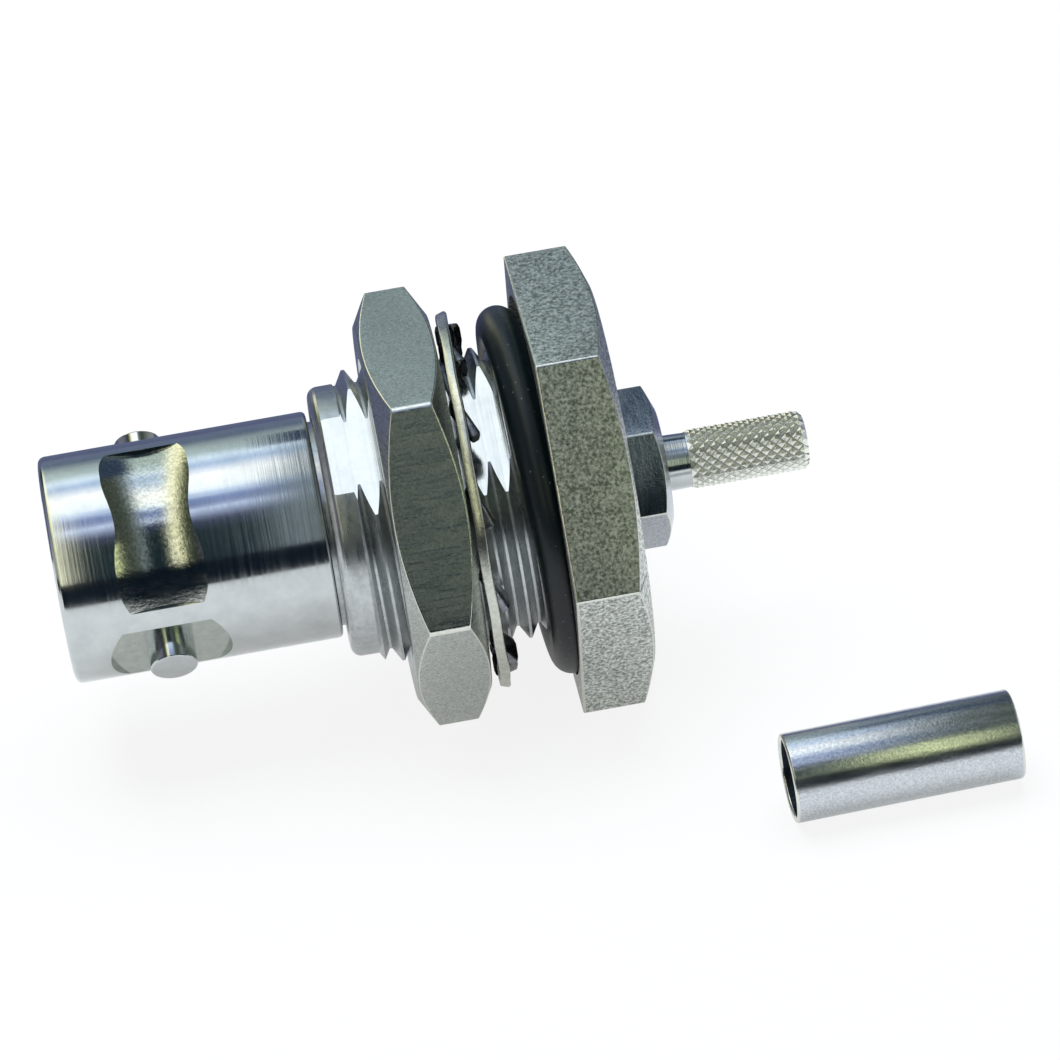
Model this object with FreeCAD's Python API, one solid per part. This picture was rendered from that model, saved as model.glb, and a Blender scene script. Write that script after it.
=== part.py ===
import FreeCAD, Part
import math
import os

# Bayonet coaxial jack for a panel, with its nut, lock washer, sealing ring and loose crimp ferrule.
# The connector lies along X: the mating face is at -X, the cable end at +X, and +Z is up.
# The origin is on the connector axis, in the plane of the flange face that seats on the panel.
# All sizes are in millimetres and degrees.

# Bayonet barrel, measured from the flange face forwards
reach = 20.8
barrel_d = 9.65
barrel_wall = 0.765
mouth_chamfer = 0.3
mouth_step = 0.14
mouth_depth = 1.6
mouth_taper = 0.5
socket_depth = 8.4
undercut_w = 0.2
undercut_depth = 0.475

# Bayonet lugs and the milling around them
lug_d = 2.0
lug_span = 11.0
lug_setback = 4.2
lug_edge = 0.1
lug_angle = -30.0
spot_d = 5.1
spot_drop = 0.325
saddle_w = 3.16
saddle_depth = 0.22
saddle_lean = 0.3
saddle_angle = 49.0
saddle_half_span = 47.0
saddle_setback = 4.35

# Collar, thread and the flat for a D shaped panel hole
thread_d = 12.5
thread_len = 6.8
thread_lead_in = 0.3
collar_step = 0.5
collar_len = 1.0
collar_edge = 0.35
flat_depth = 0.8
flat_angle = 60.0
flat_lip = 0.35
relief_step = 0.25
relief_len = 1.4

# Hexagonal flange
flange_lip = 0.37
flange_t = 3.23
flange_bevel = 20.0
flange_face_inset = 0.3
recess_clearance = 0.06
recess_depth = 1.2

# Insulators and centre contact
insulator_shoulder = 0.56
insulator_end = 1.5
nose_d = 4.72
nose_len = 5.2
nose_edge = 0.2
contact_d = 2.1
contact_wall = 0.375
contact_setback = 0.15
contact_bore_depth = 5.5
contact_edge = 0.2
slot_w = 0.22
slot_stop = 1.3
slot_count = 4
contact_collar_step = 0.45
contact_collar_len = 1.9
tail_step = 0.25
tail_len = 2.0
tail_wall = 0.45
cup_depth = 1.5
bead_t = 0.9
fit_clearance = 0.03
seat_clearance = 0.02

# Crimp body behind the flange
shank_d = 5.0
shank_wall = 0.9
chamber_room = 0.8
small_af = 6.0
small_t = 1.91
small_bevel = 22.0
small_face_inset = 0.55
small_angle = -5.9
cable_bore_d = 1.6
neck_wall = 0.4
neck_taper = 0.035
neck_len = 1.15
knurl_wall = 0.47
knurl_len = 4.98
knurl_round = 0.35
knurl_lead = 0.2

# Sealing ring, hanging a little crooked on the relief
ring_section = 1.76
ring_play = 0.19
ring_drop = 0.12
ring_centre = 0.49
ring_tilt = 2.9
ring_tilt_angle = 31.3
ring_sides = 10

# Hexagonal nut, part way along the thread
nut_wall = 1.825
nut_t = 3.12
nut_standoff = 3.66
nut_bevel = 29.0
nut_face_inset = 0.1
nut_angle = -3.5
nut_countersink = 0.3
thread_clearance = 0.05

# Internal tooth lock washer, hanging on the thread behind the nut
washer_t = 0.45
washer_edge = 0.1
washer_rim_w = 0.8
washer_play = 0.17
washer_drop = 0.1
tooth_len = 0.83
tooth_w = 1.9
tooth_root_w = 2.3
tooth_root_twist = 19.0
tooth_twist = 25.0
tooth_count = 12
tooth_angle = 2.0

# Crimp ferrule, loose on the surface beside the connector
braid_room = 0.33
ferrule_wall = 0.25
ferrule_len = 9.5
ferrule_edge = 0.12
ferrule_x = 11.9
ferrule_y = -15.0
ferrule_yaw = 2.0

# Sizes across that follow from the others
nut_af = thread_d + 2 * nut_wall
socket_d = barrel_d - 2 * barrel_wall
insulator_d = socket_d - 2 * insulator_shoulder
contact_bore_d = contact_d - 2 * contact_wall
contact_collar_d = contact_d + 2 * contact_collar_step
tail_d = contact_d - 2 * tail_step
cup_d = tail_d - 2 * tail_wall
relief_d = thread_d - 2 * relief_step
ring_id = relief_d + 2 * ring_play
recess_d = ring_id + 2 * (ring_section + ring_drop + recess_clearance)
flange_af = recess_d + 2 * flange_lip
tooth_tip_d = thread_d + 2 * washer_play
washer_rim_id = tooth_tip_d + 2 * tooth_len
washer_d = washer_rim_id + 2 * washer_rim_w
neck_d = cable_bore_d + 2 * neck_wall
knurl_d = cable_bore_d + 2 * knurl_wall
ferrule_bore_d = knurl_d + 2 * braid_room
ferrule_d = ferrule_bore_d + 2 * ferrule_wall

# Places along the axis that follow from the sizes
front_x = -reach
lug_x = front_x + lug_setback
saddle_x = front_x + saddle_setback
thread_end_x = -relief_len
thread_x = thread_end_x - thread_len
collar_x = thread_x - collar_len
undercut_x = collar_x - undercut_w
socket_x = front_x + socket_depth
nose_x = socket_x - nose_len
contact_x = nose_x + contact_setback
bead_x = -insulator_end
shank_x = bead_x + bead_t + seat_clearance
contact_collar_end_x = bead_x - seat_clearance
contact_collar_x = contact_collar_end_x - contact_collar_len
tail_end_x = contact_collar_end_x + tail_len
chamber_end_x = tail_end_x + chamber_room
hex_end_x = flange_t + small_t
neck_end_x = hex_end_x + neck_len
tube_end_x = neck_end_x + knurl_len
rest_z = -flange_af / 2

origin = FreeCAD.Vector(0, 0, 0)
axis_x = FreeCAD.Vector(1, 0, 0)


def radial(angle):
    # Unit vector square to the axis: 0 degrees points to -Y, 90 degrees points up.
    a = math.radians(angle)
    return FreeCAD.Vector(0, -math.cos(a), math.sin(a))


def rod(x0, x1, d):
    return Part.makeCylinder(d / 2, x1 - x0, FreeCAD.Vector(x0, 0, 0), axis_x)


def turned(points):
    # Solid turned about the axis from a closed outline of (x, diameter) points.
    vectors = [FreeCAD.Vector(x, 0, d / 2) for x, d in points]
    wire = Part.makePolygon(vectors + vectors[:1])
    return Part.Face(wire).revolve(origin, axis_x, 360)


def rounded(x_low, x_high, d, radius):
    # Points of a round corner that runs from the face at x_low to the diameter d, or back.
    points = []
    for i in range(3):
        a = math.radians(45 * i)
        points.append((x_low + math.copysign(radius, x_high - x_low) * (1 - math.cos(a)),
                       d - 2 * radius * (1 - math.sin(a))))
    return points


def hexagon(x0, x1, across_flats, angle):
    # Hexagonal prism along X, with one flat facing straight down when the angle is 0.
    corner_r = across_flats / 2 / math.cos(math.radians(30))
    corners = [axis_x * x0 + radial(angle + 60 * i) * corner_r for i in range(7)]
    return Part.Face(Part.makePolygon(corners)).extrude(axis_x * (x1 - x0))


def bevelled(prism, x_face, x_body, across_flats, face_inset, bevel):
    # The corners of a hexagonal prism turned down to a round face at x_face.
    corner_d = across_flats / math.cos(math.radians(30))
    face_d = across_flats - 2 * face_inset
    drop = (corner_d - face_d) / 2 * math.tan(math.radians(bevel))
    x_corner = x_face + math.copysign(drop, x_body - x_face)
    outline = [(x_face, 0), (x_face, face_d), (x_corner, corner_d), (x_body, corner_d), (x_body, 0)]
    return prism.common(turned(outline))


def lug_cutters():
    # Hollow mill marks: a flat floor round each lug, square to the lug.
    cutters = []
    for angle in (lug_angle, lug_angle + 180):
        floor = axis_x * lug_x + radial(angle) * (barrel_d / 2 - spot_drop)
        cutters.append(Part.makeCylinder(spot_d / 2, lug_span / 2, floor, radial(angle)))
    return cutters


def lug_pair():
    # Both lugs as one round bar across the barrel, with its rims broken.
    start = axis_x * lug_x - radial(lug_angle) * (lug_span / 2)
    bar = Part.makeCylinder(lug_d / 2, lug_span, start, radial(lug_angle))
    rims = [e for e in bar.Edges if e.Curve.TypeId == "Part::GeomCircle"]
    return bar.makeChamfer(lug_edge, rims)


def saddle_cutter(angle):
    # Relief milled between the lugs: a shallow arc along the axis, carried round the barrel
    # about a centre that lies a little towards it, so it is narrowest in the middle.
    half_w = saddle_w / 2
    floor_r = barrel_d / 2 - saddle_depth - saddle_lean
    arc_r = (half_w ** 2 + saddle_depth ** 2) / (2 * saddle_depth)
    rise = 2 * saddle_depth
    half_chord = math.sqrt(arc_r ** 2 - (arc_r - rise) ** 2)
    centre = axis_x * saddle_x + radial(angle) * saddle_lean
    outward = radial(angle + saddle_half_span)
    bottom = centre + outward * floor_r
    left = centre - axis_x * half_chord + outward * (floor_r + rise)
    right = centre + axis_x * half_chord + outward * (floor_r + rise)
    edges = [Part.Arc(left, bottom, right).toShape(), Part.LineSegment(right, left).toShape()]
    return Part.Face(Part.Wire(edges)).revolve(centre, axis_x, 2 * saddle_half_span)


def thread_flat():
    # Stock outside the flat of the thread, in the shape of a slab.
    across = radial(flat_angle + 90)
    flat_level = thread_d / 2 - flat_depth
    corner = axis_x * (collar_x + flat_lip) + radial(flat_angle) * flat_level - across * thread_d / 2
    slab = Part.makePolygon([
        corner,
        corner + across * thread_d,
        corner + across * thread_d + axis_x * (thread_end_x - collar_x - flat_lip),
        corner + axis_x * (thread_end_x - collar_x - flat_lip),
        corner,
    ])
    return Part.Face(slab).extrude(radial(flat_angle) * (thread_d / 2))


def flange():
    prism = hexagon(0, flange_t, flange_af, 0)
    prism = bevelled(prism, flange_t, 0, flange_af, flange_face_inset, flange_bevel)
    recess = rod(0, recess_depth, recess_d).cut(rod(0, recess_depth, relief_d))
    return prism.cut(recess)


def connector_body():
    undercut_d = barrel_d - 2 * undercut_depth
    collar_d = thread_d - 2 * collar_step
    body = turned([
        (front_x, 0),
        (front_x, barrel_d - 2 * mouth_chamfer),
        (front_x + mouth_chamfer, barrel_d),
        (undercut_x, barrel_d),
        (undercut_x, undercut_d),
        (collar_x, undercut_d),
        (collar_x, collar_d - 2 * collar_edge),
        (collar_x + collar_edge, collar_d),
        (thread_x, collar_d),
        (thread_x + thread_lead_in, thread_d),
        (thread_end_x, thread_d),
        (thread_end_x, relief_d),
        (recess_depth, relief_d),
        (recess_depth, 0),
    ])
    body = body.fuse(flange())
    body = body.cut([saddle_cutter(saddle_angle), saddle_cutter(saddle_angle + 180), thread_flat()])
    body = body.cut(lug_cutters()).fuse(lug_pair())
    mouth_d = socket_d + 2 * mouth_step
    bores = turned([
        (front_x, 0),
        (front_x, mouth_d),
        (front_x + mouth_depth, mouth_d),
        (front_x + mouth_depth + mouth_taper, socket_d),
        (socket_x, socket_d),
        (socket_x, insulator_d),
        (bead_x, insulator_d),
        (bead_x, shank_d),
        (flange_t, shank_d),
        (flange_t, 0),
    ])
    return body.cut(bores).removeSplitter()


def front_insulator():
    outside_d = insulator_d - 2 * fit_clearance
    bore_d = contact_d + 2 * fit_clearance
    return turned([
        (nose_x, bore_d),
        (nose_x, nose_d - 2 * nose_edge),
        (nose_x + nose_edge, nose_d),
        (socket_x, nose_d),
        (socket_x, outside_d),
        (contact_collar_end_x, outside_d),
        (contact_collar_end_x, contact_collar_d + 2 * fit_clearance),
        (contact_collar_x - seat_clearance, contact_collar_d + 2 * fit_clearance),
        (contact_collar_x - seat_clearance, bore_d),
    ])


def centre_contact():
    pin = turned([
        (contact_x, contact_bore_d + contact_edge),
        (contact_x, contact_d - 2 * contact_edge),
        (contact_x + contact_edge, contact_d),
        (contact_collar_x, contact_d),
        (contact_collar_x, contact_collar_d),
        (contact_collar_end_x, contact_collar_d),
        (contact_collar_end_x, tail_d),
        (tail_end_x, tail_d),
        (tail_end_x, cup_d),
        (tail_end_x - cup_depth, cup_d),
        (tail_end_x - cup_depth, 0),
        (contact_x + contact_bore_depth, 0),
        (contact_x + contact_bore_depth, contact_bore_d),
        (contact_x + contact_edge / 2, contact_bore_d),
    ])
    slots = []
    slot_len = contact_bore_depth - slot_stop
    corner = FreeCAD.Vector(contact_x, -contact_d / 2, -slot_w / 2)
    for i in range(slot_count // 2):
        blade = Part.makeBox(slot_len, contact_d, slot_w, corner)
        blade.rotate(origin, axis_x, 45 + 360 / slot_count * i)
        slots.append(blade)
    return pin.cut(slots)


def rear_insulator():
    bead_d = shank_d - 2 * fit_clearance
    hole_d = tail_d + 2 * fit_clearance
    return turned([
        (bead_x, hole_d),
        (bead_x, bead_d),
        (bead_x + bead_t, bead_d),
        (bead_x + bead_t, hole_d),
    ])


def crimp_body():
    hexagonal = hexagon(flange_t, hex_end_x, small_af, small_angle)
    hexagonal = bevelled(hexagonal, hex_end_x, flange_t, small_af, small_face_inset, small_bevel)
    outside_d = shank_d - 2 * fit_clearance
    stem = turned([
        (shank_x, 0),
        (shank_x, outside_d),
        (flange_t, outside_d),
        (flange_t, neck_d),
        (neck_end_x - knurl_lead, neck_d - 2 * neck_taper),
        (neck_end_x, knurl_d),
        *reversed(rounded(tube_end_x, neck_end_x, knurl_d, knurl_round)),
        (tube_end_x, 0),
    ])
    chamber = rod(shank_x, chamber_end_x, outside_d - 2 * shank_wall)
    bore = rod(chamber_end_x, tube_end_x, cable_bore_d)
    return hexagonal.fuse(stem).cut([chamber, bore]).removeSplitter()


def sealing_ring():
    # The round section is drawn as a polygon of ring_sides sides.
    section = []
    for i in range(ring_sides):
        a = 2 * math.pi * i / ring_sides
        section.append((ring_section / 2 * math.cos(a), ring_id + ring_section * (1 + math.sin(a))))
    ring = turned(section)
    ring.rotate(origin, radial(ring_tilt_angle), ring_tilt)
    ring.translate(FreeCAD.Vector(-ring_centre, 0, -ring_drop))
    return ring


def hex_nut():
    back_x = -nut_standoff
    face_x = back_x - nut_t
    nut = hexagon(face_x, back_x, nut_af, nut_angle)
    nut = bevelled(nut, face_x, back_x, nut_af, nut_face_inset, nut_bevel)
    nut = bevelled(nut, back_x, face_x, nut_af, nut_face_inset, nut_bevel)
    bore_d = thread_d + 2 * thread_clearance
    sink_d = bore_d + 2 * nut_countersink
    bore = turned([
        (face_x, 0),
        (face_x, sink_d),
        (face_x + nut_countersink, bore_d),
        (back_x - nut_countersink, bore_d),
        (back_x, sink_d),
        (back_x, 0),
    ])
    return nut.cut(bore)


def washer_middle_x():
    # The twisted teeth reach further along the axis than the rim and touch the nut.
    twist = math.radians(tooth_twist)
    tooth_reach = tooth_w / 2 * math.sin(twist) + washer_t / 2 * math.cos(twist)
    return tooth_reach + seat_clearance - nut_standoff


def tooth_section(radius, width, twist):
    # Outline of a tooth across its own radius, turned by its twist.
    # Going round the washer from the bottom up the near side, each tooth leans towards the nut.
    t = math.radians(twist)
    along = FreeCAD.Vector(-math.sin(t), math.cos(t), 0)
    through = FreeCAD.Vector(math.cos(t), math.sin(t), 0)
    middle = FreeCAD.Vector(washer_middle_x(), 0, radius)
    signs = [(-1, -1), (1, -1), (1, 1), (-1, 1), (-1, -1)]
    return Part.makePolygon([middle + along * (a * width / 2) + through * (b * washer_t / 2) for a, b in signs])


def lock_washer():
    middle_x = washer_middle_x()
    rim = turned([
        (middle_x - washer_t / 2, washer_rim_id),
        (middle_x - washer_t / 2, washer_d),
        (middle_x + washer_t / 2 - washer_edge, washer_d),
        (middle_x + washer_t / 2, washer_d - 2 * washer_edge),
        (middle_x + washer_t / 2, washer_rim_id),
    ])
    root_r = washer_rim_id / 2 + washer_t / 2
    tip_r = tooth_tip_d / 2
    tooth = Part.makeLoft([
        tooth_section(root_r, tooth_root_w, tooth_root_twist),
        tooth_section(tip_r, tooth_w, tooth_twist),
    ], True, True)
    washer = rim
    for i in range(tooth_count):
        copy = tooth.copy()
        copy.rotate(origin, axis_x, tooth_angle + 360 / tooth_count * i)
        washer = washer.fuse(copy)
    washer.translate(FreeCAD.Vector(0, 0, -washer_drop))
    return washer


def crimp_ferrule():
    half = ferrule_len / 2
    tube = turned([
        (-half, ferrule_bore_d),
        (-half, ferrule_d - 2 * ferrule_edge),
        (-half + ferrule_edge, ferrule_d),
        (half - ferrule_edge, ferrule_d),
        (half, ferrule_d - 2 * ferrule_edge),
        (half, ferrule_bore_d),
    ])
    tube.rotate(origin, FreeCAD.Vector(0, 0, 1), ferrule_yaw)
    tube.translate(FreeCAD.Vector(ferrule_x, ferrule_y, rest_z + ferrule_d / 2))
    return tube


pieces = {
    "connector_body": connector_body,
    "front_insulator": front_insulator,
    "centre_contact": centre_contact,
    "rear_insulator": rear_insulator,
    "crimp_body": crimp_body,
    "sealing_ring": sealing_ring,
    "lock_washer": lock_washer,
    "hex_nut": hex_nut,
    "crimp_ferrule": crimp_ferrule,
}

os.makedirs("parts", exist_ok=True)
for name, make in pieces.items():
    shape = make()
    print(name, shape.isValid(), len(shape.Solids), round(shape.Volume, 3))
    shape.exportStep("parts/" + name + ".step")
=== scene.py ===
import math

import bmesh
import bpy
from mathutils import Matrix, Vector


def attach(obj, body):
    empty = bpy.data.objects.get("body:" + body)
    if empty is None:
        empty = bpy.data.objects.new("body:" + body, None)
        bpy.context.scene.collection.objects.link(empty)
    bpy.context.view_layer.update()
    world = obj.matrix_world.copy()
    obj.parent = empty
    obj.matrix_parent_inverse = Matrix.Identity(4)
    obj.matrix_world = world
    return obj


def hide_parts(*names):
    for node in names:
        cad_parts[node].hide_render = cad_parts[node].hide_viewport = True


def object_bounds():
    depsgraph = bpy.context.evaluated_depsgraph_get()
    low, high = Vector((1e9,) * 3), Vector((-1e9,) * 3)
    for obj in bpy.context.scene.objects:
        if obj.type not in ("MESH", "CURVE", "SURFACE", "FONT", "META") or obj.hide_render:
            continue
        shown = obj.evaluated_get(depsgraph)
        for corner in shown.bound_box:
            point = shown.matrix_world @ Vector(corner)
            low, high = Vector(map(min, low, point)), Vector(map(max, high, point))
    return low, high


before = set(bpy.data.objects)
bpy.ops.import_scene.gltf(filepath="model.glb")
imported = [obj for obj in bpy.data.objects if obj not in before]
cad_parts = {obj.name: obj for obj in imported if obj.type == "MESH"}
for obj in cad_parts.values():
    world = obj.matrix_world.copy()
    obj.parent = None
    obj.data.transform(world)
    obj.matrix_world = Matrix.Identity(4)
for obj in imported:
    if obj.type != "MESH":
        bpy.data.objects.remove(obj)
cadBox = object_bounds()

# Bayonet jack lying on a white table with its crimp ferrule beside it.
# Everything is modelled in millimetres about the connector axis (X) and scaled to metres when it is finished.
mm = 0.001
xAxis = Vector((1, 0, 0))
origin = Vector((0, 0, 0))
mergeGap = 0.0002       # points nearer than this are one
overrun = 1.0           # how far a cutter runs past the metal ...
shortOverrun = 0.5      # ... and how far where it only opens a recess or a countersink


def linear(hexCode):
    # sRGB hex to linear colour
    channels = [int(hexCode[i:i + 2], 16) / 255 for i in (1, 3, 5)]
    return tuple(c / 12.92 if c <= 0.04045 else ((c + 0.055) / 1.055) ** 2.4 for c in channels) + (1,)


def addNode(tree, kind, settings=None, links=None):
    node = tree.nodes.new("ShaderNode" + kind)
    for name, value in (settings or {}).items():
        if isinstance(name, str) and hasattr(node, name):
            setattr(node, name, value)
        else:
            node.inputs[name].default_value = value
    for name, source in (links or {}).items():
        tree.links.new(source, node.inputs[name])
    return node


def newMaterial(name):
    material = bpy.data.materials.new(name)
    material.use_nodes = True
    tree = material.node_tree
    tree.nodes.clear()
    return material, tree


def setRamp(node, stops):
    # A stop's colour is a hex code, its light level three linear numbers
    ramp = node.color_ramp
    while len(ramp.elements) < len(stops):
        ramp.elements.new(0.5)
    for element, (place, colour) in zip(ramp.elements, stops):
        element.position = place
        element.color = linear(colour) if isinstance(colour, str) else (*colour, 1)


def radial(angle):
    # 0 degrees points to the camera side (-Y), 90 degrees points up
    a = math.radians(angle)
    return Vector((0, -math.cos(a), math.sin(a)))


# Camera, set so that the model's landmarks fall where the photograph has them
view = {
    "azimuth": -3.498, "elevation": 31.033, "roll": -8.224,     # degrees
    "distance": 234.172, "right": -0.568, "up": -1.894,         # mm
    "lens": 188.357, "sensor": 36,                              # mm
    "clip": (0.005, 10),                                        # metres
}


def placeCamera():
    azimuth, elevation, roll = [math.radians(view[name]) for name in ("azimuth", "elevation", "roll")]
    toward = Vector((math.sin(azimuth) * math.cos(elevation),
                     -math.cos(azimuth) * math.cos(elevation),
                     math.sin(elevation)))
    level = Vector((0, 0, 1)).cross(toward).normalized()
    rise = toward.cross(level)
    right = level * math.cos(roll) + rise * math.sin(roll)
    up = rise * math.cos(roll) - level * math.sin(roll)
    lens = bpy.data.cameras.new("camera")
    lens.sensor_width = view["sensor"]
    lens.lens = view["lens"]
    lens.clip_start, lens.clip_end = view["clip"]
    camera = bpy.data.objects.new("camera", lens)
    bpy.context.collection.objects.link(camera)
    place = right * view["right"] + up * view["up"] + toward * view["distance"]
    camera.matrix_world = Matrix.Translation(place * mm) @ Matrix((right, up, toward)).transposed().to_4x4()
    bpy.context.scene.camera = camera


placeCamera()
print("camera placed")

# Table, soft lights and the dark studio round them
studio = {
    "floorSize": 3000,
    "floorGap": 0.005,      # the table stays this much clear of the flange
    "floorShow": 0.86,      # share of the table's white that comes from the backdrop itself ...
    "floorGloss": 0.48,     # ... and the same where metal mirrors the table, which keeps its shadow
    "paper": "#f6f6f6",
    "roomColour": "#b9bdc6", "roomStrength": 0.5,
    "domeRadius": 500, "domeFoot": -8,
    # Light levels of the dome, from the table in front (0) over the top to the table behind (1)
    "overAxis": [
        (0.000, (0.010, 0.025, 0.040)),
        (0.250, (0.018, 0.038, 0.046)),
        (0.310, (0.070, 0.090, 0.160)),
        (0.345, (0.45, 0.52, 0.75)),
        (0.370, (1.00, 1.15, 1.50)),
        (0.390, (0.34, 0.42, 0.68)),
        (0.425, (0.24, 0.32, 0.66)),
        (0.460, (0.90, 1.10, 1.45)),
        (0.490, (1.60, 1.70, 1.75)),
        (0.580, (1.80, 1.80, 1.80)),
        (0.650, (0.60, 0.80, 1.15)),
        (0.700, (1.20, 1.40, 1.60)),
        (0.745, (0.70, 0.85, 0.85)),
        (0.800, (0.55, 0.66, 0.65)),
        (0.880, (0.16, 0.21, 0.30)),
        (1.000, (0.20, 0.23, 0.37)),
    ],
    # From far left (0) to far right (1): where those lights show, and the walls that show elsewhere
    "softLightSpan": [(0.360, 0), (0.392, 1), (0.550, 1), (0.562, 0)],
    "sideWalls": [
        (0.000, (0.90, 0.88, 0.75)),
        (0.050, (0.30, 0.30, 0.36)),
        (0.160, (0.17, 0.17, 0.22)),
        (0.220, (0.03, 0.04, 0.04)),
        (0.295, (0.10, 0.13, 0.07)),
        (0.320, (1.45, 1.40, 0.90)),
        (0.388, (1.95, 1.90, 1.50)),
        (0.560, (0.35, 0.42, 0.46)),
        (0.590, (0.25, 0.30, 0.33)),
        (0.615, (0.09, 0.11, 0.09)),
        (0.720, (0.07, 0.085, 0.07)),
        (0.900, (0.35, 0.37, 0.36)),
        (1.000, (0.90, 0.95, 1.00)),
    ],
}
cards = {
    # name: place, width and height, colour, strength
    "tableEdgeCloth": ((0, -58, 3), (500, 26), "#0e1a26", 1.0),
    "backCloth": ((0, 22, -1.5), (300, 16), "#666e8e", 1.0),
    "gardenWindow": ((24, -54, 28), (17, 30), "#e2eab4", 1.45),
    "darkDoorway": ((72, 219, 205), (116, 95), "#3c4c66", 1.0),
}
softbox = {"place": (0, 120, 420), "size": (500, 400), "power": 2.2, "colour": "#eef4ff"}


def shift(bm, way):
    bmesh.ops.translate(bm, vec=way, verts=bm.verts)


def tilt(bm, degrees, axis, centre=origin):
    bmesh.ops.rotate(bm, cent=centre, matrix=Matrix.Rotation(math.radians(degrees), 3, axis), verts=bm.verts)


def pointAlong(bm, direction):
    bmesh.ops.rotate(bm, cent=origin, matrix=direction.to_track_quat("Z", "Y").to_matrix(), verts=bm.verts)


def finishMesh(bm, name, materials, smoothAngle=14):
    bmesh.ops.scale(bm, vec=(mm, mm, mm), verts=bm.verts)
    mesh = bpy.data.meshes.new(name)
    bm.to_mesh(mesh)
    bm.free()
    for material in materials:
        mesh.materials.append(material)
    mesh.set_sharp_from_angle(angle=math.radians(smoothAngle))
    piece = bpy.data.objects.new(name, mesh)
    bpy.context.collection.objects.link(piece)
    return piece


def rayShare(tree, seen, mirrored):
    # How much the camera sees, and how much a reflection or glass sees; 0 for the light that falls on things
    path = addNode(tree, "LightPath")
    either = addNode(tree, "Math", {"operation": "MAXIMUM"},
                     {0: path.outputs["Is Glossy Ray"], 1: path.outputs["Is Transmission Ray"]})
    less = addNode(tree, "Math", {"operation": "MULTIPLY", 1: mirrored}, {0: either.outputs[0]})
    full = addNode(tree, "Math", {"operation": "MULTIPLY", 1: seen}, {0: path.outputs["Is Camera Ray"]})
    return addNode(tree, "Math", {"operation": "MAXIMUM"}, {0: less.outputs[0], 1: full.outputs[0]}).outputs[0]


def makeFloor():
    material, tree = newMaterial("whitePaperTable")
    paper = addNode(tree, "BsdfDiffuse", {"Color": linear(studio["paper"])})
    glow = addNode(tree, "Emission", {"Color": linear("#ffffff"), "Strength": 1.0})
    share = rayShare(tree, studio["floorShow"], studio["floorGloss"])
    mix = addNode(tree, "MixShader", None, {0: share, 1: paper.outputs[0], 2: glow.outputs[0]})
    addNode(tree, "OutputMaterial", None, {"Surface": mix.outputs[0]})
    bm = bmesh.new()
    bmesh.ops.create_grid(bm, x_segments=1, y_segments=1, size=studio["floorSize"] / 2)
    lowest = cadBox[0][2] / mm
    shift(bm, (0, 0, lowest - studio["floorGap"]))
    finishMesh(bm, "table", [material])


def makeWorld():
    world = bpy.data.worlds.new("whiteRoom")
    bpy.context.scene.world = world
    world.use_nodes = True
    tree = world.node_tree
    tree.nodes.clear()
    soft = addNode(tree, "Background", {"Color": linear(studio["roomColour"]), "Strength": studio["roomStrength"]})
    white = addNode(tree, "Background", {"Color": linear("#ffffff"), "Strength": 1.0})
    mix = addNode(tree, "MixShader", None, {0: rayShare(tree, 1.0, 1.0), 1: soft.outputs[0], 2: white.outputs[0]})
    addNode(tree, "OutputWorld", None, {"Surface": mix.outputs[0]})


def addCard(name, place, size, colour, strength):
    # A lit card or a dark cloth, turned towards the axis, that shows in the metal only
    material, tree = newMaterial(name + "Face")
    glow = addNode(tree, "Emission", {"Color": linear(colour), "Strength": strength})
    addNode(tree, "OutputMaterial", None, {"Surface": glow.outputs[0]})
    bm = bmesh.new()
    bmesh.ops.create_grid(bm, x_segments=1, y_segments=1, size=0.5)
    bmesh.ops.scale(bm, vec=(size[0], size[1], 1), verts=bm.verts)
    pointAlong(bm, Vector((0, place[1], place[2])))
    shift(bm, place)
    card = finishMesh(bm, name, [material])
    card.visible_camera = False
    card.visible_shadow = False
    card.visible_diffuse = False


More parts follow.
